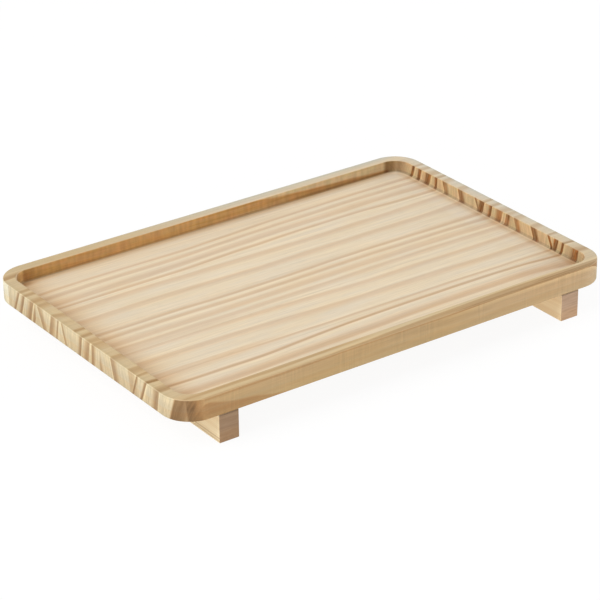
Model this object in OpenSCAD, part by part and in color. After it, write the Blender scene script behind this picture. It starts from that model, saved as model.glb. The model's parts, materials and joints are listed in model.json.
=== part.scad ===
// Sushi geta board: a shallow tray routed out of an edge-glued panel of staves, on two cross legs.
// Millimetres. The origin is on the table, under the middle of the board: +X along the grain, +Z up.

/* [Board] */
// Length of the board, along the grain
board_l = 300; // [240:1:380]
// Width of the board, front to back
board_w = 200; // [150:1:260]
// Thickness of the glued panel
board_t = 13; // [10:0.5:20]
// Outer corner radius, seen from above
corner_r = 18; // [14:0.5:24]
// Rounding of the board's outer and inner edges
edge_r = 0.6; // [0.3:0.1:1]

/* [Recess] */
// Width of the rim left round the recess
rim_w = 7.5; // [6:0.5:10]
// Wood left under the recess
floor_t = 5; // [4:0.5:8]
// Cove that the cutter leaves between wall and floor
cove_r = 2; // [1:0.25:3]

/* [Staves] */
// Width of the first stave, which is trimmed at the back
back_edge_w = 19.5; // [14:0.5:30]
// Width of the last stave, which is trimmed at the front
front_edge_w = 41.5; // [30:0.5:50]
// Width of the narrower staves between them, where a narrow one and a wide one make a pair
narrow_stave_w = 30.5; // [26:0.5:36]

/* [Legs] */
// Height of the legs
leg_h = 17; // [12:0.5:30]
// Thickness of the legs
leg_t = 12.5; // [9:0.5:18]
// From the end of the board to the leg's outer face
leg_inset = 24; // [18:1:40]
// Rounding of the leg's edges
leg_edge_r = 0.4; // [0.2:0.1:1]

/* [Screws] */
// Diameter of the plain shank
shank_d = 3; // [2.5:0.5:4]
// Diameter of the core under the thread
core_d = 2.1; // [1.7:0.1:2.8]
// Diameter of the countersunk head
head_d = 6; // [5:0.5:8]
// Depth of the head below the underside of the leg
head_sink = 0.5; // [0.2:0.1:1]
// From the end of the leg to the screw's axis
screw_end = 28; // [16:1:50]
// Wood left above the point of the screw
point_cover = 1.5; // [1:0.25:2.5]
// Radial play of the shank in the leg
shank_play = 0.2; // [0.1:0.05:0.4]

/* [Hidden] */
$fn = 96;

// Cuts run this far past the faces that they open
overrun = 1;

// Heights above the table
panel_low = leg_h;
panel_high = panel_low + board_t;
floor_top = panel_low + floor_t;

// The recess follows the outer edge, one rim width inside it
recess_l = board_l - 2 * rim_w;
recess_w = board_w - 2 * rim_w;
recess_corner_r = corner_r - rim_w;

// Two like pairs of staves lie between the trimmed ones, each with its narrow stave at the back
pair_w = (board_w - back_edge_w - front_edge_w) / 2;
pair_backs = [for (pair = [0, 1]) board_w / 2 - back_edge_w - pair * pair_w];
// Board edges and glue lines, from back to front: stave i lies between seams[i] and seams[i + 1]
seams = [board_w / 2, for (y = pair_backs) each [y, y - narrow_stave_w],
    front_edge_w - board_w / 2, -board_w / 2];

// Colours of the staves from back to front, and of the rest
stave_colours = ["#dcc39a", "#e4cfab", "#dfc8a1", "#e6d2b0", "#dec69e", "#e2cca6"];
leg_colour = "#e3cb9a";
screw_colour = "#b9bab6";

// Middles of the legs and the screws, and the height of the screws' points
leg_x = board_l / 2 - leg_inset - leg_t / 2;
screw_y = board_w / 2 - screw_end;
screw_tip = floor_top - point_cover;

// Play round the screw's core in the panel, and under its head
pilot_play = 0.05;
seat_play = 0.05;

// Right half of a plate's end view, out to $reach: straight wall, rounded upper and lower edges
module plate_half(low, high, low_r, high_r) {
    difference() {
        translate([0, low]) square([$reach, high - low]);
        edge_waste($reach, low, low_r, 1);
        edge_waste($reach, high, high_r, -1);
    }
}

// What a rounded edge leaves out of the square corner at (x, z): up is 1 for a lower edge, -1 for an upper
module edge_waste(x, z, r, up) {
    if (r > 0)
        difference() {
            translate([x - r, up > 0 ? z - overrun : z - r]) square(r + overrun);
            translate([x - r, z + up * r]) circle(r);
        }
}

module mirrored_both() {
    children();
    mirror([1, 0]) children();
}

// Carries a half end view round a rectangle with round corners: a revolve at each corner, and two runs
module round_plate(l, w, r) {
    for (x = [-1, 1], y = [-1, 1])
        translate([x * (l / 2 - r), y * (w / 2 - r), 0]) let ($reach = r) rotate_extrude() children();
    rotate([90, 0, 90]) linear_extrude(l - 2 * r, center = true)
        let ($reach = w / 2) mirrored_both() children();
    rotate([90, 0, 0]) linear_extrude(w - 2 * r, center = true)
        let ($reach = l / 2) mirrored_both() children();
}

// End view of the recess: cove at the floor, and the rim's inner edge rounded over at the top
module recess_half() {
    plate_half(floor_top, panel_high + overrun, cove_r, 0);
    difference() {
        translate([0, panel_high - edge_r]) square([$reach + edge_r, edge_r + overrun]);
        translate([$reach + edge_r, panel_high - edge_r]) circle(edge_r);
    }
}

module tray() {
    difference() {
        round_plate(board_l, board_w, corner_r) plate_half(panel_low, panel_high, edge_r, edge_r);
        round_plate(recess_l, recess_w, recess_corner_r) recess_half();
        screw_places() translate([0, 0, panel_low - overrun])
            cylinder(h = screw_tip - panel_low + overrun + pilot_play, d = core_d + 2 * pilot_play);
    }
}

// One stave is the part of the tray between two glue lines
module stave(i) {
    color(stave_colours[i])
        intersection() {
            tray();
            translate([-board_l / 2 - overrun, seams[i + 1], 0])
                cube([board_l + 2 * overrun, seams[i] - seams[i + 1], panel_high + overrun]);
        }
}

module back_edge_stave() { stave(0); }
module back_stave() { stave(1); }
module centre_back_stave() { stave(2); }
module centre_front_stave() { stave(3); }
module front_stave() { stave(4); }
module front_edge_stave() { stave(5); }

module screw_places() {
    for (x = [-leg_x, leg_x], y = [-screw_y, screw_y]) translate([x, y, 0]) children();
}

// A square-cut bar across the board, with its edges just broken, drilled and countersunk from below
module leg() {
    difference() {
        intersection() {
            rotate([90, 0, 0]) linear_extrude(board_w, center = true)
                let ($reach = leg_t / 2) mirrored_both() plate_half(0, leg_h, leg_edge_r, 0);
            rotate([90, 0, 90]) linear_extrude(leg_t, center = true)
                let ($reach = board_w / 2) mirrored_both() plate_half(0, leg_h, leg_edge_r, 0);
        }
        for (y = [-screw_y, screw_y]) translate([0, y, 0]) screw_hole();
    }
}

module left_leg() { color(leg_colour) translate([-leg_x, 0, 0]) leg(); }
module right_leg() { color(leg_colour) translate([leg_x, 0, 0]) leg(); }

// The countersink's cone is at 90 degrees, so it is as deep as it narrows
module screw_hole() {
    hole_r = shank_d / 2 + shank_play;
    seat_r = head_d / 2 + seat_play;
    rotate_extrude() polygon([
        [0, -overrun], [seat_r, -overrun], [seat_r, head_sink],
        [hole_r, head_sink + seat_r - hole_r], [hole_r, leg_h + overrun], [0, leg_h + overrun]]);
}

// Countersunk wood screw, head down: the thread's core starts where the leg ends, under the panel
module screw() {
    head_r = head_d / 2;
    shank_r = shank_d / 2;
    core_r = core_d / 2;
    rotate_extrude() polygon([
        [0, head_sink], [head_r, head_sink], [shank_r, head_sink + head_r - shank_r],
        [shank_r, panel_low - (shank_r - core_r)], [core_r, panel_low],
        [core_r, screw_tip - core_r], [0, screw_tip]]);
}

module leg_screws() { color(screw_colour) screw_places() screw(); }

back_edge_stave();
back_stave();
centre_back_stave();
centre_front_stave();
front_stave();
front_edge_stave();
left_leg();
right_leg();
leg_screws();
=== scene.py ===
import json
import math
import bpy
from mathutils import Matrix, Vector


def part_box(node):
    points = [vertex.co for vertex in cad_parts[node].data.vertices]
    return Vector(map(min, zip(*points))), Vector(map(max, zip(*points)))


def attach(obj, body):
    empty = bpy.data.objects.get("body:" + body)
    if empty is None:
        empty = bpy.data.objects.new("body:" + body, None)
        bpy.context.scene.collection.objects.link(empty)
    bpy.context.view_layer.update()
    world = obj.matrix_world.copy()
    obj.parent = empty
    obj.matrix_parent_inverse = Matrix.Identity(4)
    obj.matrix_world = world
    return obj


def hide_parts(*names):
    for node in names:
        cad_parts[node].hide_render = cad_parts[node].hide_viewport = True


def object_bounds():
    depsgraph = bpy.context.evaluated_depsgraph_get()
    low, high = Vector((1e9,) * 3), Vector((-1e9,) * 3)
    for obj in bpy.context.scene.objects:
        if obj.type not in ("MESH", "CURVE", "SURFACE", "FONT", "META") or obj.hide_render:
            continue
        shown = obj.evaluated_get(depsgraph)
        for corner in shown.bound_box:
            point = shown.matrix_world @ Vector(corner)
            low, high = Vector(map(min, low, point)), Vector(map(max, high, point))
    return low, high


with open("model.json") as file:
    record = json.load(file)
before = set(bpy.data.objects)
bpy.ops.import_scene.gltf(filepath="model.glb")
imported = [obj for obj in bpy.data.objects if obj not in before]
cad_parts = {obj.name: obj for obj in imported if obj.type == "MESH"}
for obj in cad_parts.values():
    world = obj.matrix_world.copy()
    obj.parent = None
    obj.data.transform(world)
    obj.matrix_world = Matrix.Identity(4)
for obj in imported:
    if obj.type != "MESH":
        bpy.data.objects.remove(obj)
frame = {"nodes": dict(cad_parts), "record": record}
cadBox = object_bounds()
scene = bpy.context.scene
scene.view_settings.view_transform = "Standard"
mm = 0.001
mounts = {mount["name"]: mount for mount in frame["record"]["mounts"]}

# heights and half sizes of the board in millimetres, for the wood's patterns
board = {
    "halfLength": cadBox[1].x / mm,
    "halfWidth": cadBox[1].y / mm,
    "top": cadBox[1].z / mm,
    "underside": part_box("left_leg")[1].z / mm,
    "floor": mounts["serving_face"]["pos_m"][2] / mm,
}
print("frame loaded:", len(frame["nodes"]), "nodes")


# camera

cameraView = {
    "azimuth": -35.436,   # degrees
    "elevation": 26.459,
    "roll": -0.584,
    "distance": 1.45485,   # metres
    "aside": -0.00135,   # from the middle of the table under the board
    "above": 0.00711,
    "focalPixels": 2475.8,
    "framePixels": 600,
    "sensor": 36.0,
    "clip": (0.05, 20.0),
}


def makeCamera(view):
    azimuth, elevation, roll = (math.radians(view[key]) for key in ("azimuth", "elevation", "roll"))
    back = Vector((math.sin(azimuth) * math.cos(elevation),
                   -math.cos(azimuth) * math.cos(elevation), math.sin(elevation)))
    levelRight = Vector((0, 0, 1)).cross(back).normalized()
    levelUp = back.cross(levelRight)
    right = levelRight * math.cos(roll) + levelUp * math.sin(roll)
    up = levelUp * math.cos(roll) - levelRight * math.sin(roll)
    lens = bpy.data.cameras.new("studioCamera")
    lens.sensor_width = view["sensor"]
    lens.lens = view["focalPixels"] / view["framePixels"] * view["sensor"]
    lens.dof.use_dof = False
    lens.clip_start, lens.clip_end = view["clip"]
    camera = bpy.data.objects.new("studioCamera", lens)
    turn = Matrix((right, up, back)).transposed().to_4x4()
    place = back * view["distance"] + right * view["aside"] + up * view["above"]
    camera.matrix_world = Matrix.Translation(place) @ turn
    scene.collection.objects.link(camera)
    scene.camera = camera


makeCamera(cameraView)
print("camera placed")


# small helpers for node trees

def paint(red, green, blue):
    # a screen colour from 0 to 255, as the linear colour that a shader takes
    return tuple(((level / 255 + 0.055) / 1.055) ** 2.4 for level in (red, green, blue)) + (1.0,)


def feed(tree, value, socket):
    if isinstance(value, bpy.types.NodeSocket):
        tree.links.new(value, socket)
    else:
        socket.default_value = value


def calc(tree, operation, *values, clamp=False):
    node = tree.nodes.new("ShaderNodeMath")
    node.operation = operation
    node.use_clamp = clamp
    for value, socket in zip(values, node.inputs):
        feed(tree, value, socket)
    return node.outputs[0]


def multiply(tree, *values):
    result = values[0]
    for value in values[1:]:
        result = calc(tree, "MULTIPLY", result, value)
    return result


def blend(tree, factor, first, second):
    return calc(tree, "MULTIPLY_ADD", factor, calc(tree, "SUBTRACT", second, first), first)


def vary(tree, value, amount):
    # turns noise from 0 to 1 into a factor round 1
    return calc(tree, "MULTIPLY_ADD", value, 2 * amount, 1 - amount)


def ease(tree, value, start, end):
    # 0 at start and 1 at end, with a smooth way between them
    node = tree.nodes.new("ShaderNodeMapRange")
    node.interpolation_type = "SMOOTHSTEP"
    feed(tree, value, node.inputs["Value"])
    feed(tree, start, node.inputs["From Min"])
    feed(tree, end, node.inputs["From Max"])
    return node.outputs["Result"]


def tint(tree, factor, first, second, mode="MIX"):
    node = tree.nodes.new("ShaderNodeMix")
    node.data_type = "RGBA"
    node.blend_type = mode
    feed(tree, factor, node.inputs[0])
    feed(tree, first, node.inputs[6])
    feed(tree, second, node.inputs[7])
    return node.outputs[2]


def tintWhere(tree, mask, colour, factor):
    # the colour times the factor, where the mask is
    return tint(tree, mask, colour, factor, "MULTIPLY")


def shade(tree, colour, noise, amount, mask=1.0):
    # makes the colour lighter and darker by noise, up to this amount
    return tintWhere(tree, mask, colour, vary(tree, noise, amount))


def darken(tree, colour, amount):
    return tintWhere(tree, 1.0, colour, calc(tree, "SUBTRACT", 1.0, amount))


def pattern(tree, look, name, place):
    # noise over the whole way from 0 to 1, with blotches of the pattern's own size
    sizes, detail = look["patterns"][name]
    combine = tree.nodes.new("ShaderNodeCombineXYZ")
    for value, size, socket in zip(place, sizes, combine.inputs):
        feed(tree, calc(tree, "DIVIDE", value, size), socket)
    noise = tree.nodes.new("ShaderNodeTexNoise")
    noise.inputs["Scale"].default_value = 1.0
    noise.inputs["Detail"].default_value = detail
    tree.links.new(combine.outputs[0], noise.inputs["Vector"])
    return ease(tree, noise.outputs[0], 0.3, 0.7)   # noise is seldom outside these


def giveMaterial(piece, material):
    piece.data.materials.clear()
    piece.data.materials.append(material)


# what both kinds of wood share

def woodSpace(tree, grain):
    # millimetres along the grain, across it and up, and how far the surface faces each way
    coordinates = tree.nodes.new("ShaderNodeTexCoord")
    metres = tree.nodes.new("ShaderNodeSeparateXYZ")
    tree.links.new(coordinates.outputs["Object"], metres.inputs[0])
    facing = tree.nodes.new("ShaderNodeSeparateXYZ")
    tree.links.new(coordinates.outputs["Normal"], facing.inputs[0])
    order = (0, 1, 2) if grain == "x" else (1, 0, 2)
    place = tuple(calc(tree, "DIVIDE", metres.outputs[i], mm) for i in order)
    return place, tuple(facing.outputs[i] for i in order)


def startWood(name, look, grain):
    material = bpy.data.materials.new(name)
    material.use_nodes = True
    tree = material.node_tree
    shader = tree.nodes["Principled BSDF"]
    shader.inputs["Specular IOR Level"].default_value = look["specular"]
    shader.inputs["Roughness"].default_value = look["roughness"]
    return material, tree, shader, *woodSpace(tree, grain)


def finishWood(tree, shader, look, colour, relief):
    tree.links.new(colour, shader.inputs["Base Color"])
    bump = tree.nodes.new("ShaderNodeBump")
    bump.inputs["Strength"].default_value = look["bump"]
    bump.inputs["Distance"].default_value = look["relief"] * mm
    tree.links.new(relief, bump.inputs["Height"])
    tree.links.new(bump.outputs[0], shader.inputs["Normal"])


# growth rings

ringEdges = {
    # on the flat, on the ends and on the end walls
    "full": (0.15, 0.2, 0.45),   # share of its width over which a ring is darkest
    "sharp": (2.4, 0.9, 0.6),   # width of its sharp edge in mm
    "fresh": (3.2, 1.8),   # width of the pale wood past it in mm
    "freshShare": (0.3, 0.5),   # how much that shows
    "pathMargin": 5.0,   # how far outside the board a path may run, in mm
}


def makeRingGroup():
    # dark wood fills a band from its sharp edge to its soft side, and past the sharp edge wood starts pale
    tree = bpy.data.node_groups.new("growthRing", "ShaderNodeTree")
    for name in ("Across", "Height", "Place", "Lean", "Side", "Width", "Full", "Sharp", "Fresh", "Strength"):
        tree.interface.new_socket(name, in_out="INPUT", socket_type="NodeSocketFloat")
    for name in ("Dark", "Light"):
        tree.interface.new_socket(name, in_out="OUTPUT", socket_type="NodeSocketFloat")
    given = tree.nodes.new("NodeGroupInput").outputs
    result = tree.nodes.new("NodeGroupOutput").inputs
    upright = calc(tree, "MULTIPLY_ADD", given["Height"], given["Lean"], given["Across"])
    offset = multiply(tree, calc(tree, "SUBTRACT", upright, given["Place"]), given["Side"])
    softSide = ease(tree, offset, given["Width"], multiply(tree, given["Width"], given["Full"]))
    sharpFoot = multiply(tree, given["Sharp"], -1.0)
    sharpSide = ease(tree, offset, sharpFoot, 0.0)
    freshSide = ease(tree, offset, calc(tree, "SUBTRACT", sharpFoot, given["Fresh"]), sharpFoot)
    pastSharp = calc(tree, "SUBTRACT", 1.0, sharpSide)
    tree.links.new(multiply(tree, softSide, sharpSide, given["Strength"]), result["Dark"])
    tree.links.new(multiply(tree, freshSide, pastSharp, given["Strength"]), result["Light"])
    return tree


ringGroup = makeRingGroup()


def followPath(tree, along, points):
    # the ring's place across the board, from the points that it passes on its way along the board
    length, width = board["halfLength"], board["halfWidth"] + ringEdges["pathMargin"]
    node = tree.nodes.new("ShaderNodeFloatCurve")
    curve = node.mapping.curves[0]
    spots = [((x / length + 1) / 2, (y / width + 1) / 2) for x, y in points]
    curve.points[0].location = spots[0]
    curve.points[-1].location = spots[-1]
    for spot in spots[1:-1]:
        curve.points.new(*spot)
    for point in curve.points:
        point.handle_type = "AUTO_CLAMPED"
    node.mapping.update()
    feed(tree, calc(tree, "MULTIPLY_ADD", along, 0.5 / length, 0.5), node.inputs["Value"])
    return calc(tree, "MULTIPLY_ADD", node.outputs[0], 2 * width, -width)


def byFace(tree, faces, flat, end, endWall=None):
    value = blend(tree, faces["end"], flat, end)
    return value if endWall is None else blend(tree, faces["endWall"], value, endWall)


def drawRings(tree, place, faces, rings, floorShare):
    # the rings' dark and light wood: on end grain their edges are crisp, and on the flat they are soft
    along, across, height = place
    full, sharp, fresh, freshShare = (
        byFace(tree, faces, *ringEdges[name]) for name in ("full", "sharp", "fresh", "freshShare"))
    flatShare = blend(tree, faces["rimTop"], floorShare, 1.0)
    dark = light = 0.0
    for ring in rings:
        flat, end, side = ring["shows"]
        strength = blend(tree, faces["end"], multiply(tree, flatShare, flat), end)
        strength = blend(tree, faces["side"], strength, side)
        if "until" in ring:
            shown = ease(tree, along, ring["until"] + ring["fade"], ring["until"])
            strength = multiply(tree, strength, shown)
        if "after" in ring:
            shown = ease(tree, along, ring["after"] - ring["fade"], ring["after"])
            strength = multiply(tree, strength, shown)
        leftLean, rightLean = ring["lean"]
        halfTurn = (rightLean - leftLean) / 2
        values = {
            "Across": across,
            "Height": height,
            "Place": followPath(tree, along, ring["path"]),
            "Lean": calc(tree, "MULTIPLY_ADD", along, halfTurn / board["halfLength"], leftLean + halfTurn),
            "Side": ring.get("side", 1.0),
            "Width": ring["width"],
            "Full": full,
            "Sharp": multiply(tree, sharp, ring.get("sharp", 1.0)),
            "Fresh": multiply(tree, fresh, ring.get("freshWidth", 1.0)),
            "Strength": strength,
        }
        node = tree.nodes.new("ShaderNodeGroup")
        node.node_tree = ringGroup
        for name, value in values.items():
            feed(tree, value, node.inputs[name])
        dark = calc(tree, "MAXIMUM", dark, node.outputs["Dark"])
        light = calc(tree, "MAXIMUM", light, multiply(tree, node.outputs["Light"], ring.get("fresh", 1.0)))
    return dark, multiply(tree, light, freshShare)


# the board's wood

boardWood = {
    # pale and dark wood as screen colours: on the floor, and over that on each other kind of face
    "floor": ((229, 212, 184), (189, 158, 124)),
    "onFaces": {
        "rimTop": ((206, 182, 141), (152, 116, 68)),
        "rimBack": ((214, 200, 176), (172, 149, 116)),   # painted sheen: the rim is paler at the back and the right
        "side": ((201, 171, 125), (171, 131, 85)),
        "sideRight": ((213, 182, 139), (176, 136, 89)),   # the front is paler at the right
        "end": ((197, 180, 147), (150, 120, 84)),
        # the inner side walls: partly the wood's colour, partly painted shade and warm bounce light
        "sideWall": ((208, 186, 149), (195, 148, 90)),
        "sideWallRight": ((205, 181, 143), (168, 124, 73)),
        "endWall": ((194, 168, 130), (114, 71, 28)),
        "under": ((214, 190, 152), (160, 122, 78)),
    },
    "paleEnds": {"back_edge_stave": (1.24, 1.38, 1.58, 1.0)},   # tints the pale wood of a stave's outer ends
    "warmRing": (146, 92, 43),   # patches of the rings on the end walls
    "warmLimits": (0.45, 0.8),   # their noise shows from the first to the second
    "deep": (112, 84, 52),   # where rings are darkest
    "amber": (1.035, 0.98, 0.93, 1.0),   # tints the soft half of a ring
    "fresh": (1.25, 1.3, 1.27, 1.0),   # and the wood that starts past its sharp edge
    "edgeHighlight": (242, 226, 194),   # painted highlight along the rounded edges
    "edgeHighlightShares": (0.12, 0.22, 0.1),   # how strong that painted highlight is on the sides, the ends and inside
    "casts": ((1.02, 1.0, 0.965, 1.0), (0.99, 1.0, 1.03, 1.0)),   # slow changes of hue
    "wallCasts": ((1.03, 0.97, 0.94, 1.0), (0.975, 1.015, 0.96, 1.0)),   # brown and golden parts of the walls
    # length of each pattern's blotches along the grain, across it and up in mm, and its detail
    "patterns": {
        "wander": ((80.0, 16.0, 40.0), 2.0),
        "warm": ((6.0, 5.0, 8.0), 2.0),
        "fibre": ((24.0, 0.4, 0.4), 3.0),
        "streak": ((60.0, 0.8, 12.0), 2.0),
        "band": ((110.0, 1.8, 12.0), 2.0),
        "pores": ((3.0, 0.3, 0.3), 2.0),
        "scratches": ((1.3, 1.3, 20.0), 2.0),
        "scratchFields": ((14.0, 14.0, 60.0), 1.0),
        "ripple": ((3.0, 3.0, 16.0), 4.0),
        "dashes": ((9.0, 0.25, 0.25), 1.0),
        "patches": ((9.0, 9.0, 5.0), 2.0),
        "tone": ((80.0, 14.0, 14.0), 2.0),
        "hue": ((40.0, 7.0, 16.0), 2.0),
    },
    "wiggle": 0.4,   # how far rings wander to either side in mm
    "floorRings": 0.8,   # rings show less on the floor than their own numbers say
    "ringStreak": 0.22,   # how much streaks and the other patterns show
    "fibre": 0.04,
    "streak": 0.042,
    "band": 0.02,
    "endStreak": 0.06,
    "pores": 0.05,
    "scratches": 0.07,
    "ripple": 0.1,
    "dashes": 0.08,
    "dashLimits": (0.82, 1.0),   # only the peaks of their noise show
    "tone": 0.016,
    "glueWidth": 0.14,   # mm to either side
    "glueDark": 0.45,
    "specular": 0.3,
    "roughness": 0.62,
    "bump": 0.3,
    "relief": 0.05,   # mm
}

# Kinds of face. Each is the part of the kinds after "on", or of the two after "either", that lies in all its
# spans. A span says where it sets in and from where it is full, and with four numbers where it ends too. from
# and below are mm from the board's outer faces and its top, and above is mm over the floor of the recess.
boardFaces = {
    "inner": {"outward": (-10.0, -50.0)},
    "outer": {"outward": (10.0, 50.0)},
    "end": {"facingEnd": (0.35, 0.8)},
    "side": {"facingSide": (0.45, 0.9)},
    "wall": {"either": ("end", "side")},
    "endOverSide": {"endLead": (-0.2, 0.2)},
    "under": {"facingUp": (-0.4, -0.8)},
    "flatFloor": {"facingUp": (0.5, 0.9), "aboveFloor": (1.0, 0.2)},
    "rimTop": {"belowTop": (2.0, 0.6)},
    "rimBack": {"on": ["rimTop"], "fromBackRight": (270.0, 90.0)},
    "sideRight": {"on": ["side"], "fromRight": (150.0, 30.0)},
    "sideWall": {"on": ["side", "inner"]},
    "sideWallRight": {"on": ["sideWall"], "fromRight": (130.0, 40.0)},
    "endWall": {"on": ["end", "inner"]},
    "outerEnd": {"on": ["end", "outer"]},
    "outerSide": {"on": ["side", "outer"]},
    "innerBack": {"on": ["wall", "inner"], "fromBack": (19.0, 8.0)},
    "edge": {"facingUp": (0.2, 0.5, 0.85, 0.97), "belowTop": (1.2, 0.8)},
    "foot": {"facingUp": (0.1, 0.3, 0.8, 0.97), "aboveFloor": (2.2, 1.2)},
    "byLeft": {"fromLeft": (45.0, 8.0)},
    "byFront": {"fromFront": (45.0, 8.0), "share": 0.75},
    "byEither": {"either": ("byLeft", "byFront"), "aboveFloor": (1.0, 0.2)},
    "atEnd": {"fromEnd": (15.0, 9.0)},
    "atSide": {"fromSide": (14.0, 8.5)},
}

# places tinted paler, darker or warmer, found in the same way, and what tints the colour there; many of them
# are painted light and shade, as said at each
boardTones = {
    # painted warm shade near the left and front walls, which also tints the lower outer faces there
    "floorByLeftAndFront": {"on": ["byEither"], "tint": (1.005, 0.945, 0.865)},
    # painted shade on the floor along the foot of the walls
    "floorAtWalls": {"on": ["flatFloor"], "either": ("atEnd", "atSide"), "tint": (0.85, 0.775, 0.68)},
    # painted shadow of the left rim on the floor beside it
    "floorLeft": {"on": ["flatFloor"], "fromLeft": (31.0, 14.0), "tint": (0.88, 0.82, 0.75)},
    # painted light: the floor is paler by the right wall, away from the front
    "floorRight": {"on": ["flatFloor"], "fromRight": (26.0, 18.0), "fromFront": (40.0, 60.0),
                   "tint": (1.05, 1.07, 1.12)},
    # painted shade on the floor by the front right corner
    "floorFrontRight": {"on": ["flatFloor"], "fromRight": (60.0, 35.0), "fromFront": (42.0, 28.0),
                        "tint": (0.93, 0.905, 0.9)},
    # painted highlight on the upper part of the outer ends
    "endsAbove": {"on": ["outerEnd"], "belowTop": (6.0, 1.5), "tint": (1.13, 1.13, 1.11)},
    "endsBelow": {"on": ["outerEnd"], "belowTop": (8.5, 12.5), "tint": (0.93, 0.97, 1.0)},
    "sidesAbove": {"on": ["outerSide"], "belowTop": (7.5, 5.0), "tint": (0.985, 0.945, 0.915)},
    "sidesBelow": {"on": ["outerSide"], "belowTop": (9.0, 11.0), "tint": (1.0, 1.04, 1.06)},
    "rimLeftOutside": {"on": ["rimTop"], "fromLeft": (20.0, 10.0), "fromOutside": (3.5, 1.0),
                       "tint": (0.94, 0.955, 0.95)},
    "rimBackOutside": {"on": ["rimBack"], "fromOutside": (3.5, 1.0), "tint": (0.91, 0.98, 1.03)},
    "rimBackInside": {"on": ["rimBack"], "fromOutside": (4.5, 7.0), "tint": (1.02, 0.975, 0.91)},
    "rimBehind": {"on": ["rimTop"], "fromBack": (5.5, 4.0), "tint": (1.0, 1.05, 1.08)},
    # painted light where the outer front right corner turns to the light
    "outerCornerFrontRight": {"on": ["wall", "outer"], "fromRight": (23.0, 11.0), "fromFront": (20.0, 10.0),
                              "tint": (1.14, 1.19, 1.27)},
    # painted light that brightens the back left inner corner
    "innerCornerBackLeft": {"on": ["innerBack"], "fromLeft": (18.0, 15.0), "tint": (1.4, 1.6, 1.9)},
    # painted shade on the back wall just beside that corner
    "besideThatCorner": {"on": ["innerBack"], "fromLeft": (28.0, 20.0, 18.0, 16.0),
                         "tint": (0.84, 0.8, 0.76)},
    # painted shade in the back right inner corner
    "shadedCornerBackRight": {"on": ["innerBack"], "fromRight": (20.5, 17.0), "tint": (0.4, 0.32, 0.23)},
    # painted shade in the cove at the foot of the walls
    "footOfWalls": {"on": ["foot"], "tint": (0.72, 0.72, 0.72)},
}


def measureSpot(tree, place, facing):
    # what the spans go by
    along, across, up = place
    facingAlong, facingAcross, facingUp = facing
    fromRight = calc(tree, "SUBTRACT", board["halfLength"], along)
    fromLeft = calc(tree, "ADD", board["halfLength"], along)
    fromBack = calc(tree, "SUBTRACT", board["halfWidth"], across)
    fromFront = calc(tree, "ADD", board["halfWidth"], across)
    fromEnd = calc(tree, "MINIMUM", fromLeft, fromRight)
    fromSide = calc(tree, "MINIMUM", fromFront, fromBack)
    facingEnd = calc(tree, "ABSOLUTE", facingAlong)
    facingSide = calc(tree, "ABSOLUTE", facingAcross)
    return {
        "fromLeft": fromLeft,
        "fromRight": fromRight,
        "fromFront": fromFront,
        "fromBack": fromBack,
        "fromEnd": fromEnd,
        "fromSide": fromSide,
        "fromOutside": calc(tree, "MINIMUM", fromEnd, fromSide),
        "fromBackRight": calc(tree, "ADD", fromBack, fromRight),
        "aboveFloor": calc(tree, "SUBTRACT", up, board["floor"]),
        "belowTop": calc(tree, "SUBTRACT", board["top"], up),
        "outward": calc(tree, "MULTIPLY_ADD", along, facingAlong, multiply(tree, across, facingAcross)),
        "facingUp": facingUp,
        "facingEnd": facingEnd,
        "facingSide": facingSide,
        "endLead": calc(tree, "SUBTRACT", facingEnd, facingSide),
    }


def findMask(tree, spot, masks, rule):
    # how much the rule of a kind of face or of a tone holds here, from 0 to 1
    parts = [masks[kind] for kind in rule.get("on", ())]
    if "either" in rule:
        parts.append(calc(tree, "MAXIMUM", *(masks[kind] for kind in rule["either"])))
    for name, value in spot.items():
        if name in rule:
            start, full, *back = rule[name]
            parts.append(ease(tree, value, start, full))
            if back:
                fullEnd, end = back
                parts.append(ease(tree, value, end, fullEnd))
    if "share" in rule:
        parts.append(rule["share"])
    return multiply(tree, *parts)


def faceColours(tree, place, faces, look, stave):
    # the pale and the dark wood here
    pale, dark = (paint(*colour) for colour in look["floor"])
    for kind, (paleColour, darkColour) in look["onFaces"].items():
        pale = tint(tree, faces[kind], pale, paint(*paleColour))
        dark = tint(tree, faces[kind], dark, paint(*darkColour))
    if stave in look["paleEnds"]:
        pale = tintWhere(tree, faces["outerEnd"], pale, look["paleEnds"][stave])
    warm = ease(tree, pattern(tree, look, "warm", place), *look["warmLimits"])
    dark = tint(tree, multiply(tree, faces["endWall"], warm), dark, paint(*look["warmRing"]))
    return pale, dark


def colourRings(tree, pale, dark, late, early, look):
    # rings are amber where they are half dark
    deep = calc(tree, "SUBTRACT", late, 1.0, clamp=True)
    late = calc(tree, "MINIMUM", late, 1.0)
    halfDark = multiply(tree, late, calc(tree, "SUBTRACT", 1.0, late), 4.0)   # 1 where late is a half
    colour = tintWhere(tree, early, pale, look["fresh"])
    colour = tint(tree, late, colour, dark)
    colour = tint(tree, deep, colour, paint(*look["deep"]))
    return tintWhere(tree, halfDark, colour, look["amber"])


# painted highlight along the rounded top edges, as pale colour
def paintEdgeHighlights(tree, colour, faces, look):
    sideHighlight, endHighlight, innerHighlight = look["edgeHighlightShares"]
    highlight = blend(tree, faces["endOverSide"], sideHighlight, endHighlight)
    highlight = blend(tree, faces["inner"], highlight, innerHighlight)
    return tint(tree, multiply(tree, faces["edge"], highlight), colour, paint(*look["edgeHighlight"]))


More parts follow.
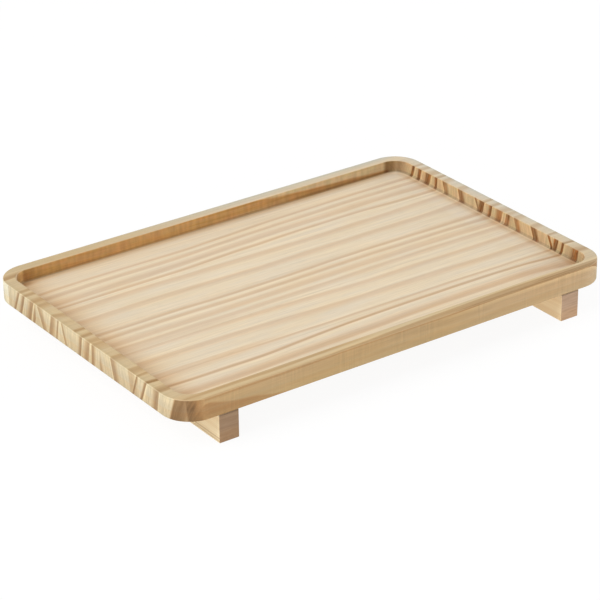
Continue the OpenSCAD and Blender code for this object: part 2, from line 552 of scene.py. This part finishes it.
def addGrain(tree, colour, place, faces, look, lengthwise):
    # patterns along the grain everywhere, pores on end grain, and marks of the cutter up the walls
    def find(name):
        return pattern(tree, look, name, place)

    outerWall = multiply(tree, faces["wall"], faces["outer"])
    innerWall = multiply(tree, faces["wall"], faces["inner"])
    scratches = blend(tree, find("scratchFields"), 0.5, find("scratches"))   # plain between the fields
    for name, noise in lengthwise.items():
        colour = shade(tree, colour, noise, look[name])
    colour = shade(tree, colour, lengthwise["streak"], look["endStreak"], faces["end"])
    colour = shade(tree, colour, find("pores"), look["pores"], faces["end"])
    colour = shade(tree, colour, scratches, look["scratches"], outerWall)
    colour = shade(tree, colour, find("ripple"), look["ripple"], innerWall)
    dashes = ease(tree, find("dashes"), *look["dashLimits"])
    colour = darken(tree, colour, multiply(tree, dashes, look["dashes"]))
    colour = tintWhere(tree, innerWall, colour, tint(tree, find("patches"), *look["wallCasts"]))
    colour = shade(tree, colour, find("tone"), look["tone"])
    return tintWhere(tree, 1.0, colour, tint(tree, find("hue"), *look["casts"]))


def addGlueLines(tree, colour, dark, across, look, stave):
    # thin lines where the stave meets its neighbours
    for seam in (corner.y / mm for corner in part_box(stave)):
        if abs(seam) < board["halfWidth"] - look["glueWidth"]:
            away = calc(tree, "ABSOLUTE", calc(tree, "SUBTRACT", across, seam))
            line = multiply(tree, ease(tree, away, look["glueWidth"], 0.0), look["glueDark"])
            colour = tint(tree, line, colour, dark)
    return colour


def boardMaterial(stave, look, rings):
    material, tree, shader, place, facing = startWood(stave + "Wood", look, "x")
    along, across, up = place
    spot = measureSpot(tree, place, facing)
    faces = {}
    for kind, rule in boardFaces.items():
        faces[kind] = findMask(tree, spot, faces, rule)

    # the rings wander a little, and streaks and bands lean as they do
    wander = pattern(tree, look, "wander", place)
    wander = calc(tree, "MULTIPLY_ADD", wander, 2 * look["wiggle"], -look["wiggle"])
    wavy = calc(tree, "ADD", across, wander)
    lean = sum(sum(ring["lean"]) / 2 for ring in rings) / len(rings)
    leaning = (along, calc(tree, "MULTIPLY_ADD", spot["aboveFloor"], lean, wavy), up)
    lengthwise = {
        "fibre": pattern(tree, look, "fibre", place),
        "streak": pattern(tree, look, "streak", leaning),
        "band": pattern(tree, look, "band", leaning),
    }
    pale, dark = faceColours(tree, place, faces, look, stave)
    late, early = drawRings(tree, (along, wavy, spot["aboveFloor"]), faces, rings, look["floorRings"])
    late = multiply(tree, late, vary(tree, lengthwise["streak"], look["ringStreak"]))
    colour = colourRings(tree, pale, dark, late, early, look)
    colour = paintEdgeHighlights(tree, colour, faces, look)
    colour = addGrain(tree, colour, place, faces, look, lengthwise)
    # the tones, many of them painted light and shade
    for tone in boardTones.values():
        colour = tintWhere(tree, findMask(tree, spot, faces, tone), colour, (*tone["tint"], 1.0))
    colour = addGlueLines(tree, colour, dark, across, look, stave)
    finishWood(tree, shader, look, colour, lengthwise["fibre"])
    return material


# Rings of each stave, in mm. path: where a ring's sharp edge runs over the floor, as along and across. lean:
# how far it leans to the front as it rises, at the left and the right end. It fades over its width, to the
# back, or with side -1 to the front. sharp and freshWidth: times the widths in ringEdges. fresh: times its
# freshShare. shows: how dark it is on flat faces, ends and sides. after and until: from where and up to where
# along the board it shows in full, with fade before or past that.
staveRings = {
    "back_edge_stave": [
        # this ring shows only on the back inner wall: painted shade that darkens the wall, at the right only
        # near its base
        {"path": [(-150, 87.6), (15, 88), (40, 89.5), (60, 90.3), (80, 90.7), (120, 91.4), (150, 91.7)],
         "lean": (-0.45, -0.45), "width": 16, "sharp": 0.35, "fresh": 0, "shows": (0, 0, 1)},
        {"path": [(-150, 91.5), (150, 91.5)],
         "lean": (-0.45, -0.45), "width": 8, "sharp": 0.3, "fresh": 0, "shows": (0, 0, 1.35), "after": 75,
         "fade": 60},
        {"path": [(-150, 92.4), (0, 92.2), (150, 92)],
         "lean": (-0.45, -0.45), "width": 9, "shows": (0.16, 0, 0)},
        {"path": [(-150, 87.6), (-132, 88.6), (150, 88.6)],
         "lean": (0, 0), "width": 6, "sharp": 0.6, "shows": (0.6, 0, 0), "until": -138, "fade": 14},
    ],
    "back_stave": [
        {"path": [(-150, 71.4), (-125, 72.8), (-85, 73.3), (-45, 73.2), (-5, 75.1), (35, 77.3),
                  (115, 78.1), (150, 77.6)],
         "lean": (0.43, 0.27), "width": 2.8, "sharp": 0.8, "shows": (0.55, 1, 0)},
        {"path": [(-150, 64.9), (-120, 65.6), (-85, 66.2), (-45, 66.3), (-5, 68.2), (35, 69.9), (115, 71),
                  (150, 70.2)],
         "lean": (0.33, 0.23), "width": 3.8, "shows": (0.5, 0.95, 0)},
        {"path": [(-150, 54.6), (-120, 56), (-85, 56.4), (-45, 57.6), (-5, 59.6), (35, 61), (75, 61.9),
                  (115, 62.4), (150, 60.6)],
         "lean": (0.33, 0.25), "width": 6.8, "shows": (0.48, 0.85, 0)},
        {"path": [(-150, 50.2), (-120, 50.6), (-85, 51.2), (-45, 51.4), (-5, 53.3), (35, 54.6),
                  (75, 55.4), (115, 53.8), (150, 53)],
         "lean": (0.24, 0.05), "width": 3.2, "sharp": 0.8, "shows": (0.66, 0.9, 0)},
    ],
    "centre_back_stave": [
        {"path": [(-150, 43.5), (-120, 45), (-85, 45.8), (-45, 44.3), (-5, 43.2), (35, 42.6), (75, 43.2),
                  (150, 45)],
         "lean": (-0.5, -0.32), "side": -1, "width": 6, "shows": (0.42, 0.7, 0)},
        {"path": [(-150, 33.6), (-130, 29), (-85, 30), (-45, 29), (-5, 27.7), (75, 28), (115, 27.7),
                  (150, 29.8)],
         "lean": (0.25, -0.33), "side": -1, "width": 6.5, "shows": (0.42, 0.8, 0)},
        {"path": [(-150, 18.6), (-130, 14), (0, 12), (150, 11.6)],
         "lean": (-0.28, -0.5), "side": -1, "width": 2.4, "sharp": 0.7, "shows": (0.1, 0.75, 0)},
        {"path": [(-150, 25.6), (150, 25.6)],
         "lean": (0.23, 0.23), "width": 1.8, "sharp": 0.8, "shows": (0, 0.8, 0), "until": -146, "fade": 3},
        {"path": [(-150, 8.4), (150, 8.4)],
         "lean": (0.2, 0.2), "width": 5.5, "shows": (0, 0.9, 0), "after": 60, "fade": 40},
    ],
    "centre_front_stave": [
        {"path": [(-150, 8.8), (-85, 8.6), (-45, 7.7), (-5, 8), (35, 9.1), (75, 8.6), (115, 8.1),
                  (150, 8.4)],
         "lean": (0.2, 0.2), "width": 3.4, "sharp": 0.8, "shows": (0.62, 0, 0)},
        {"path": [(-150, 8.4), (150, 8.4)],
         "lean": (0.2, 0.2), "width": 5.5, "shows": (0, 0.9, 0), "after": 60, "fade": 40},
        {"path": [(-150, 0.8), (-120, 2), (-85, 1.8), (-45, 0.9), (-5, 1.4), (35, 2.1), (75, 1.8),
                  (115, 1.4), (150, 0.4)],
         "lean": (0.2, 0.2), "width": 3.8, "sharp": 0.9, "shows": (0.56, 0.95, 0)},
        {"path": [(-150, -7.3), (-85, -7.5), (-45, -7.4), (-5, -7), (35, -6.4), (75, -6.4), (115, -7.1),
                  (150, -9.8)],
         "lean": (0.2, 0.2), "width": 6.8, "shows": (0.42, 0.75, 0)},
        {"path": [(-150, -11), (-120, -12.3), (-45, -12.8), (-5, -12.8), (35, -12), (75, -11.6),
                  (115, -12.4), (150, -13.4)],
         "lean": (0.1, 0.2), "side": -1, "width": 5, "shows": (0.4, 0.8, 0)},
        {"path": [(-150, -12.3), (150, -12.3)],
         "lean": (0, 0), "side": -1, "width": 10, "shows": (0.3, 0, 0), "until": -75, "fade": 35},
    ],
    "front_stave": [
        {"path": [(-150, -17.8), (-85, -19.2), (-45, -20.7), (-5, -23.3), (35, -24.5), (75, -24.8),
                  (115, -25.4), (150, -24.5)],
         "lean": (-0.3, -0.33), "side": -1, "width": 5.5, "shows": (0.42, 0.75, 0)},
        {"path": [(-150, -33.2), (-85, -33.8), (-45, -35.8), (-5, -37.8), (35, -38.7), (75, -39.3),
                  (115, -41), (150, -41)],
         "lean": (-0.27, -0.45), "side": -1, "width": 6.8, "shows": (0.42, 0.8, 0)},
        {"path": [(-150, -50.4), (-100, -51), (150, -56)],
         "lean": (-0.2, -0.2), "side": -1, "width": 9, "shows": (0.42, 0.4, 0), "until": -85, "fade": 50},
        {"path": [(-150, -54.2), (-120, -53.3), (-85, -53.8), (-45, -54.3), (-5, -54.2), (35, -54.8),
                  (75, -55.2), (150, -57.2)],
         "lean": (0.35, -0.5), "side": -1, "width": 2.4, "sharp": 0.6, "shows": (0.55, 1, 0)},
    ],
    "front_edge_stave": [
        {"path": [(-150, -60.8), (150, -60.8)],
         "lean": (0.2, 0.2), "width": 5.5, "shows": (0, 0.9, 0), "after": 60, "fade": 40},
        {"path": [(-150, -63.6), (-120, -65.7), (-85, -65.9), (-45, -64), (-5, -61.9), (35, -61.3),
                  (75, -61.8), (115, -63.2), (135, -65.5), (150, -67.5)],
         "lean": (0.4, 0.19), "width": 2.6, "sharp": 0.7, "shows": (0.95, 1.1, 0)},
        {"path": [(-150, -77.8), (-120, -78), (-85, -77.8), (-45, -76.2), (-5, -75.2), (35, -73.9),
                  (75, -74.1), (115, -75.2), (135, -78), (150, -79.8)],
         "lean": (0.17, 0.15), "width": 7, "shows": (0.6, 0.85, 0)},
        {"path": [(-150, -92.3), (150, -92.3)],
         "lean": (0.28, 0.28), "width": 2, "sharp": 0.6, "shows": (0.45, 0, 0), "until": -50, "fade": 40},
        {"path": [(-150, -89.7), (150, -89.7)],
         "lean": (0.2, 0.2), "side": -1, "width": 12, "sharp": 1.6, "fresh": 0, "shows": (0.1, 1.5, 1.5),
         "until": -142, "fade": 5},
        {"path": [(-150, -96.2), (150, -96.2)],
         "lean": (-0.07, -0.07), "side": -1, "width": 5.4, "sharp": 1.1, "fresh": 0,
         "shows": (0.2, 1.8, 1.8), "until": -137, "fade": 5},
        {"path": [(-150, -98.2), (-133, -98.9), (-122, -99.6), (-112, -100.1), (-101, -100.5),
                  (-90, -101), (-77, -101.5), (-60, -104), (150, -104)],
         "lean": (0.28, 0.28), "side": -1, "width": 12, "sharp": 0.2, "fresh": 0.3, "shows": (0, 0.7, 0.7)},
        {"path": [(-150, -93.4), (-110, -93), (0, -92.6), (150, -92.6)],
         "lean": (1, 1), "width": 4, "sharp": 0.3, "fresh": 0, "shows": (0.4, 0, 0.45), "until": 10,
         "fade": 40},
        {"path": [(-150, -100.8), (-60, -100.8), (150, -100.8)],
         "lean": (0, 0), "width": 3, "fresh": 0, "shows": (0.6, 0, 0)},
        {"path": [(-150, -95.6), (-75, -95.4), (-50, -94.2), (-30, -92), (0, -91), (150, -91)],
         "lean": (0, 0), "width": 5, "sharp": 0.4, "shows": (0.34, 0, 0), "until": -50, "fade": 25},
        {"path": [(-150, -100), (-60, -99.6), (-40, -98.8), (-20, -98.2), (0, -97), (20, -96.2),
                  (40, -95.8), (60, -95.4), (80, -95), (150, -95)],
         "lean": (0, 0), "side": -1, "width": 9, "sharp": 0.6, "fresh": 2.0, "shows": (0.5, 0, 0)},
        {"path": [(-150, -97), (150, -97)],
         "lean": (0, 0), "side": -1, "width": 5, "sharp": 0.7, "fresh": 0, "shows": (0.78, 0, 0),
         "after": 105, "fade": 30},
        {"path": [(-150, -92.6), (20, -92.6), (60, -92.4), (150, -92.2)],
         "lean": (1, 1), "width": 5, "sharp": 0.2, "fresh": 3.4, "freshWidth": 0.9,
         "shows": (0.85, 0.6, 0.8), "after": 50, "fade": 40},
    ],
}


for node, rings in staveRings.items():
    giveMaterial(frame["nodes"][node], boardMaterial(node, boardWood, rings))
print("staves finished")


# the legs' wood, whose grain runs from the front to the back

legWood = {
    # each leg has its own colours: the right leg's paler sides and ends are painted light, a lighter copy of
    # the same wood
    "left_leg": {
        "side": ((244, 226, 188), (230, 204, 160)),
        "end": ((168, 138, 109), (157, 126, 97)),
        "lines": (1.3, 2.9),   # heights of two dark lines on its sides
    },
    "right_leg": {
        "side": ((250, 226, 184), (240, 210, 164)),
        "end": ((205, 173, 144), (188, 155, 127)),
        "lines": (),
    },
    "patterns": {
        "band": ((150.0, 9.0, 3.2), 1.0),
        "line": ((110.0, 2.0, 0.8), 2.0),
        "layer": ((40.0, 14.0, 1.1), 2.0),
        "fibre": ((22.0, 0.35, 0.35), 3.0),
    },
    "lineShare": 0.4,   # how much of the level grain is fine lines, and the rest is bands
    "line": (0.74, 0.74, 0.76, 1.0),
    "lineSpan": (0.8, 0.1),   # mm from its middle, from where it starts to where it is full
    "endLimits": (0.35, 0.8),   # how far the surface of an end faces endwise
    "endLow": (1.09, 1.03, 0.92, 1.0),   # the lower half of the ends is warmer
    "endLowShares": (0.55, 0.25),   # of the leg's height
    "fibre": 0.03,
    "boardShadow": 0.34,   # painted shadow: how much darker the line under the board is
    "boardShadowSpan": (1.1, 0.3),   # mm under the board
    "specular": 0.3,
    "roughness": 0.6,
    "bump": 0.3,
    "relief": 0.05,
}


def legMaterial(leg, look):
    material, tree, shader, place, facing = startWood(leg + "Wood", look, "y")
    up = place[2]
    band, line, layer, fibre = (
        pattern(tree, look, name, place) for name in ("band", "line", "layer", "fibre"))
    # level lines, long on the sides and short on the ends
    grain = blend(tree, look["lineShare"], band, line)
    sides = tint(tree, grain, *(paint(*colour) for colour in look[leg]["side"]))
    for height in look[leg]["lines"]:
        away = calc(tree, "ABSOLUTE", calc(tree, "SUBTRACT", up, height))
        sides = tintWhere(tree, ease(tree, away, *look["lineSpan"]), sides, look["line"])
    ends = tint(tree, layer, *(paint(*colour) for colour in look[leg]["end"]))
    low = ease(tree, up, *(share * board["underside"] for share in look["endLowShares"]))
    ends = tintWhere(tree, low, ends, look["endLow"])
    end = ease(tree, calc(tree, "ABSOLUTE", facing[0]), *look["endLimits"])
    colour = shade(tree, tint(tree, end, sides, ends), fibre, look["fibre"])
    # painted shadow of the board along the top of each leg
    boardShadow = ease(tree, calc(tree, "SUBTRACT", board["underside"], up), *look["boardShadowSpan"])
    colour = darken(tree, colour, multiply(tree, boardShadow, look["boardShadow"]))
    finishWood(tree, shader, look, colour, fibre)
    return material


for leg in ("left_leg", "right_leg"):
    giveMaterial(frame["nodes"][leg], legMaterial(leg, legWood))
print("legs finished")


# the screws that hold each leg, driven up through it from below

legScrews = {
    "lengths": {   # in mm
        "headRadius": 3.0,
        "shankRadius": 1.5,
        "coreRadius": 1.05,
        "tipRadius": 0.08,
        "threadLength": 12.0,
        "threadPitch": 1.35,
        "threadDepth": 0.4,
        "pointLength": 2.6,
        "recessLength": 3.5,   # the cross in the head
        "recessWidth": 0.9,
        "recessDepth": 1.4,
        "recessLift": 0.05,   # how far its cutter starts outside the head
    },
    "recessTipShare": 0.25,   # radius of a blade's tip, as a share of its length
    "pointThreadShare": 0.7,   # how much of the point has a thread
    "roundness": 48,
    "threadSteps": 28,
    "turnSeed": 4,
    "sharpAngle": 35,   # degrees
    "zinc": ((198, 200, 198), (180, 182, 178)),
    "roughness": (0.24, 0.4),
    "patterns": {"bloom": ((0.4, 0.4, 0.4), 3.0)},
}


def addNode(tree, kind, inputs, **settings):
    node = tree.nodes.new(kind)
    for name, value in settings.items():
        setattr(node, name, value)
    for name, value in inputs.items():
        for part in value if isinstance(value, list) else [value]:
            feed(tree, part, node.inputs[name])
    return node.outputs[0]


def upBy(tree, z):
    return addNode(tree, "ShaderNodeCombineXYZ", {"Z": z})


def pick(tree, values):
    # the value for each point of a line, in order
    node = tree.nodes.new("GeometryNodeIndexSwitch")
    node.data_type = "FLOAT"
    while len(node.index_switch_items) < len(values):
        node.index_switch_items.new()
    feed(tree, tree.nodes.new("GeometryNodeInputIndex").outputs[0], node.inputs["Index"])
    for i, value in enumerate(values):
        feed(tree, value, node.inputs[i + 1])
    return node.outputs[0]


def turnBody(tree, outline, roundness):
    # a closed turned body from (height, radius) stations
    line = addNode(tree, "GeometryNodeMeshLine", {"Count": len(outline)})
    heights, radii = zip(*outline)
    spots = upBy(tree, pick(tree, heights))
    line = addNode(tree, "GeometryNodeSetPosition", {"Geometry": line, "Position": spots})
    line = addNode(tree, "GeometryNodeMeshToCurve", {"Mesh": line})
    circle = addNode(tree, "GeometryNodeCurvePrimitiveCircle", {"Resolution": roundness, "Radius": 1.0})
    return addNode(tree, "GeometryNodeCurveToMesh", {
        "Curve": line, "Profile Curve": circle, "Scale": pick(tree, radii), "Fill Caps": True})


def windThread(tree, given, start, climb, endRadius, turned, steps):
    # a helix with one corner of its triangle outwards, and the angle where it ends
    turns = calc(tree, "DIVIDE", climb, given["threadPitch"])
    helix = addNode(tree, "GeometryNodeCurveSpiral", {
        "Resolution": steps, "Rotations": turns, "Start Radius": given["coreRadius"],
        "End Radius": endRadius, "Height": climb})
    helix = addNode(tree, "GeometryNodeSetCurveNormal", {"Curve": helix}, mode="Z_UP")
    triangle = addNode(tree, "GeometryNodeCurvePrimitiveCircle", {
        "Resolution": 3, "Radius": given["threadDepth"]})
    triangle = addNode(tree, "GeometryNodeTransform", {"Geometry": triangle, "Rotation": (0, 0, math.pi)})
    thread = addNode(tree, "GeometryNodeCurveToMesh", {
        "Curve": helix, "Profile Curve": triangle, "Fill Caps": True})
    thread = addNode(tree, "GeometryNodeTransform", {
        "Geometry": thread, "Translation": upBy(tree, start), "Rotation": upBy(tree, turned)})
    return thread, calc(tree, "MULTIPLY_ADD", turns, math.tau, turned)


def cutRecess(tree, given, body, tipShare):
    # the cross is two blades that narrow with depth, each a square cone turned by an eighth and flattened
    corner = multiply(tree, given["recessLength"], math.sqrt(0.5))
    tipCorner = multiply(tree, given["recessLength"], tipShare)
    blade = addNode(tree, "GeometryNodeMeshCone", {
        "Vertices": 4, "Radius Bottom": corner, "Radius Top": tipCorner, "Depth": given["recessDepth"]})
    blade = addNode(tree, "GeometryNodeTransform", {"Geometry": blade, "Rotation": (0, 0, math.radians(45))})
    slim = calc(tree, "DIVIDE", given["recessWidth"], given["recessLength"])
    scale = addNode(tree, "ShaderNodeCombineXYZ", {"X": 1.0, "Y": slim, "Z": 1.0})
    blade = addNode(tree, "GeometryNodeTransform", {"Geometry": blade, "Scale": scale})
    below = upBy(tree, multiply(tree, given["recessLift"], -1.0))
    for angle in (0, math.radians(90)):
        turned = addNode(tree, "GeometryNodeTransform", {
            "Geometry": blade, "Rotation": (0, 0, angle), "Translation": below})
        body = addNode(tree, "GeometryNodeMeshBoolean", {"Mesh 1": body, "Mesh 2": turned},
                       operation="DIFFERENCE", solver="MANIFOLD")
    return body


def makeScrewTree(sizes, look):
    tree = bpy.data.node_groups.new("legScrewTree", "GeometryNodeTree")
    kinds = {name: "NodeSocketFloat" for name in sizes}
    kinds |= {"turnSeed": "NodeSocketInt", "metal": "NodeSocketMaterial"}
    sockets = {name: tree.interface.new_socket(name, in_out="INPUT", socket_type=kind)
               for name, kind in kinds.items()}
    tree.interface.new_socket("screws", in_out="OUTPUT", socket_type="NodeSocketGeometry")
    given = tree.nodes.new("NodeGroupInput").outputs
    result = tree.nodes.new("NodeGroupOutput").inputs

    length, head = given["length"], given["headRadius"]
    shank, core = given["shankRadius"], given["coreRadius"]
    headTop = calc(tree, "SUBTRACT", head, shank)
    threadStart = calc(tree, "SUBTRACT", length, given["threadLength"])
    coreStart = calc(tree, "ADD", threadStart, calc(tree, "SUBTRACT", shank, core))
    pointStart = calc(tree, "SUBTRACT", length, given["pointLength"])
    body = turnBody(tree, [(0.0, head), (headTop, shank), (threadStart, shank), (coreStart, core),
                           (pointStart, core), (length, given["tipRadius"])], look["roundness"])
    body = cutRecess(tree, given, body, look["recessTipShare"])
    climb = calc(tree, "SUBTRACT", pointStart, coreStart)
    thread, turned = windThread(tree, given, coreStart, climb, core, 0.0, look["threadSteps"])
    climb = multiply(tree, given["pointLength"], look["pointThreadShare"])
    pointThread = windThread(
        tree, given, pointStart, climb, given["tipRadius"], turned, look["threadSteps"])[0]
    screw = addNode(tree, "GeometryNodeJoinGeometry", {"Geometry": [body, thread, pointThread]})

    # one screw on each point of a grid of two by two, turned as the driver left it
    spots = addNode(tree, "GeometryNodeMeshGrid", {
        "Size X": given["spreadX"], "Size Y": given["spreadY"], "Vertices X": 2, "Vertices Y": 2})
    spots = addNode(tree, "GeometryNodeTransform", {
        "Geometry": spots, "Translation": upBy(tree, given["headHeight"])})
    turn = addNode(tree, "FunctionNodeRandomValue", {"Max": (0, 0, math.tau), "Seed": given["turnSeed"]},
                   data_type="FLOAT_VECTOR")
    placed = addNode(tree, "GeometryNodeInstanceOnPoints", {
        "Points": spots, "Instance": screw, "Rotation": turn})
    placed = addNode(tree, "GeometryNodeRealizeInstances", {"Geometry": placed})
    placed = addNode(tree, "GeometryNodeSetMaterial", {"Geometry": placed, "Material": given["metal"]})
    tree.links.new(placed, result[0])
    return tree, sockets


def zincMaterial(look):
    material = bpy.data.materials.new("zincPlate")
    material.use_nodes = True
    tree = material.node_tree
    shader = tree.nodes["Principled BSDF"]
    shader.inputs["Metallic"].default_value = 1.0
    bloom = pattern(tree, look, "bloom", woodSpace(tree, "x")[0])
    zinc = tint(tree, bloom, *(paint(*colour) for colour in look["zinc"]))
    tree.links.new(zinc, shader.inputs["Base Color"])
    tree.links.new(blend(tree, bloom, *look["roughness"]), shader.inputs["Roughness"])
    return material


def makeScrews(look):
    low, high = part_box("leg_screws")
    sizes = {name: value * mm for name, value in look["lengths"].items()}
    sizes["length"] = high.z - low.z
    sizes["headHeight"] = low.z
    sizes["spreadX"] = high.x - low.x - 2 * sizes["headRadius"]
    sizes["spreadY"] = high.y - low.y - 2 * sizes["headRadius"]
    tree, sockets = makeScrewTree(sizes, look)
    metal = zincMaterial(look)
    piece = bpy.data.objects.new("legScrewSet", bpy.data.meshes.new("legScrewSet"))
    scene.collection.objects.link(piece)
    modifier = piece.modifiers.new("screws", "NODES")
    modifier.node_group = tree
    for name, value in (sizes | {"turnSeed": look["turnSeed"], "metal": metal}).items():
        modifier[sockets[name].identifier] = value
    evaluated = piece.evaluated_get(bpy.context.evaluated_depsgraph_get())
    piece.data = bpy.data.meshes.new_from_object(evaluated)
    piece.modifiers.remove(modifier)
    giveMaterial(piece, metal)
    piece.data.shade_smooth()
    piece.data.set_sharp_from_angle(angle=math.radians(look["sharpAngle"]))
    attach(piece, "root")
    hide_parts("leg_screws")
    return piece


screwSet = makeScrews(legScrews)
print("screws made:", len(screwSet.data.polygons), "faces")


# studio

studio = {
    "floorSize": 6.0,
    "world": 0.5,
    "softboxes": [   # place, size and power
        ((-1.9, 0.15, 1.9), 1.6, 38.3),
        ((-1.5, -1.2, 0.2), 0.6, 13.0),
        ((2.0, 0.2, 0.7), 1.2, 15.0),
    ],
    "floorBounce": 0.5,
    "floorFill": 0.32,   # even light from the floor, which also reaches the feet
    "floorSeen": 0.09,   # how much of the floor's own light and shade the camera sees
    "floorGlow": 0.92,
}


def makeFloor(look):
    mesh = bpy.data.meshes.new("studioFloor")
    half = look["floorSize"] / 2
    corners = [(-half, -half, 0), (half, -half, 0), (half, half, 0), (-half, half, 0)]
    mesh.from_pydata(corners, [], [(0, 1, 2, 3)])
    floor = bpy.data.objects.new("studioFloor", mesh)
    scene.collection.objects.link(floor)
    material = bpy.data.materials.new("paperWhite")
    material.use_nodes = True
    tree = material.node_tree
    tree.nodes.clear()
    seenByCamera = tree.nodes.new("ShaderNodeLightPath").outputs["Is Camera Ray"]
    diffuse = tree.nodes.new("ShaderNodeBsdfDiffuse")
    glow = tree.nodes.new("ShaderNodeEmission")
    both = tree.nodes.new("ShaderNodeAddShader")
    output = tree.nodes.new("ShaderNodeOutputMaterial")
    bounce, seen = ((level, level, level, 1.0) for level in (look["floorBounce"], look["floorSeen"]))
    feed(tree, tint(tree, seenByCamera, bounce, seen), diffuse.inputs["Color"])
    feed(tree, blend(tree, seenByCamera, look["floorFill"], look["floorGlow"]), glow.inputs["Strength"])
    tree.links.new(diffuse.outputs[0], both.inputs[0])
    tree.links.new(glow.outputs[0], both.inputs[1])
    # seen from below, the floor is clear
    clear = tree.nodes.new("ShaderNodeBsdfTransparent")
    eitherSide = tree.nodes.new("ShaderNodeMixShader")
    feed(tree, tree.nodes.new("ShaderNodeNewGeometry").outputs["Backfacing"], eitherSide.inputs[0])
    tree.links.new(both.outputs[0], eitherSide.inputs[1])
    tree.links.new(clear.outputs[0], eitherSide.inputs[2])
    tree.links.new(eitherSide.outputs[0], output.inputs["Surface"])
    mesh.materials.append(material)


def makeWorld(look):
    # white for the camera and in reflections, and half as strong as light
    world = bpy.data.worlds.new("studioWorld")
    world.use_nodes = True
    tree = world.node_tree
    background = tree.nodes["Background"]
    path = tree.nodes.new("ShaderNodeLightPath")
    seen = calc(tree, "MAXIMUM", path.outputs["Is Camera Ray"], path.outputs["Is Glossy Ray"])
    strength = calc(tree, "MULTIPLY_ADD", seen, 1 - look["world"], look["world"])
    feed(tree, strength, background.inputs["Strength"])
    background.inputs["Color"].default_value = (1, 1, 1, 1)
    scene.world = world


def makeLamps(look):
    for place, size, power in look["softboxes"]:
        light = bpy.data.lights.new("softbox", "AREA")
        light.size = size
        light.energy = power
        lamp = bpy.data.objects.new("softbox", light)
        lamp.location = place
        lamp.rotation_euler = (-Vector(place)).to_track_quat("-Z", "Y").to_euler()
        scene.collection.objects.link(lamp)


makeFloor(studio)
makeWorld(studio)
makeLamps(studio)
print("studio ready")
